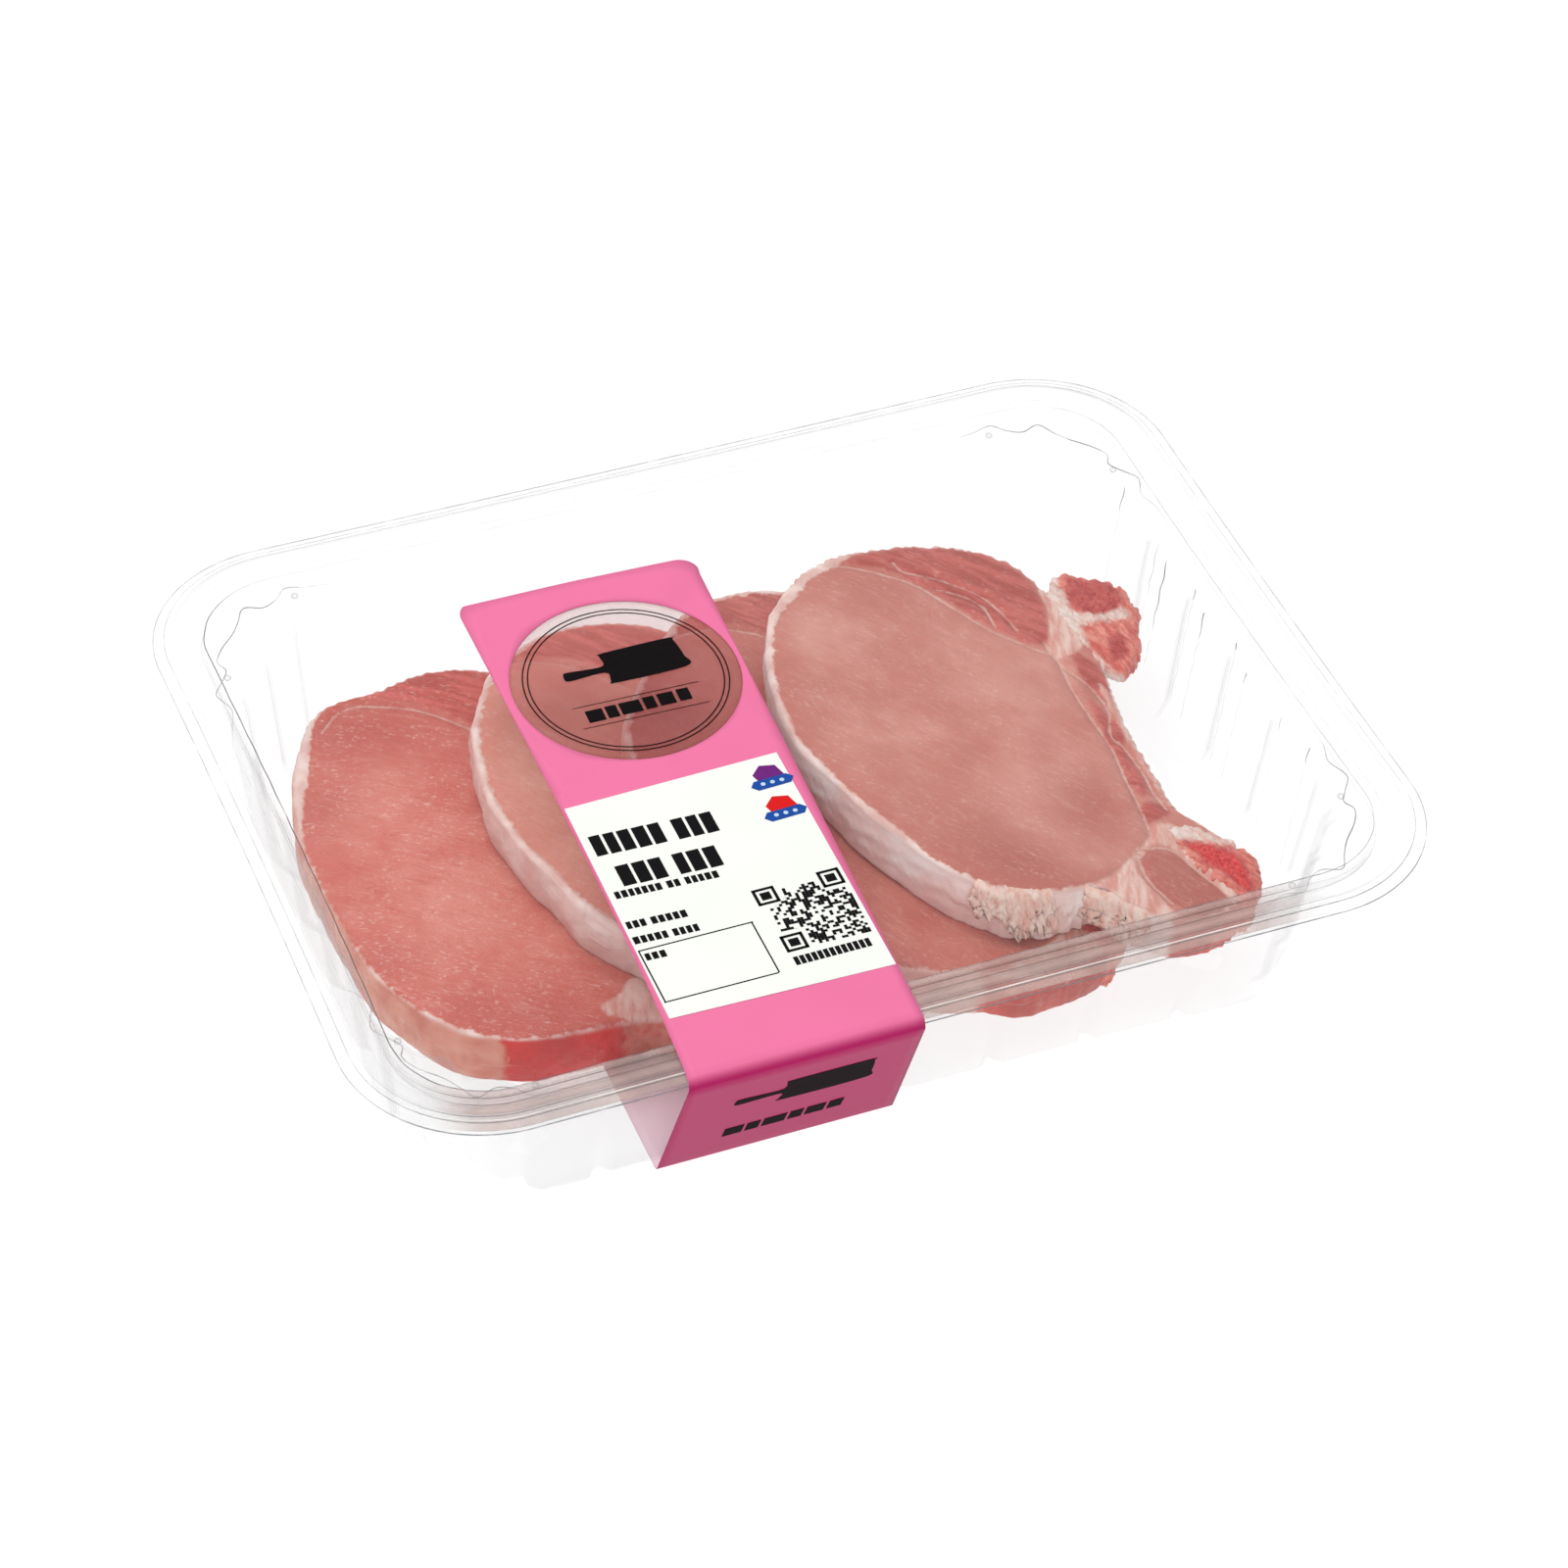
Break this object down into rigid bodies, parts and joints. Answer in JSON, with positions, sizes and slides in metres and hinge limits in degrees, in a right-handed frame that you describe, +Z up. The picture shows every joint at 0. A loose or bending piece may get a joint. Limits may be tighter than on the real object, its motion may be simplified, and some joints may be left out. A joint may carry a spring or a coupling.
{
  "type": "meat tray pack",
  "caption": "Sealed clear plastic tray with overlapping bone-in pork loin chops under a clear lid film and a wrapped pink label.",
  "frame": {"origin": "centre of the overall box, on the plane the tray stands on", "axes": "+X along the long side to the right, +Y away from the front side where the label folds down, +Z up"},
  "size_m": [0.2258, 0.1782, 0.0443],
  "materials": {
    "clear_plastic": "clear gloss",
    "clear_film": "clear gloss",
    "pink_label": "printed satin",
    "raw_pork": "moist satin",
    "raw_bone": "moist cut bone"
  },
  "bodies": {
    "root": {"tray": "clear_plastic", "lid_film": "clear_film", "label": "pink_label", "chop_1": "raw_pork", "chop_2": "raw_pork", "chop_3": "raw_pork", "chop_4": "raw_pork", "chine_bone_3": "raw_bone", "chine_bone_4": "raw_bone", "rib_bone_3": "raw_bone", "rib_bone_4": "raw_bone"}
  },
  "joints": []
}
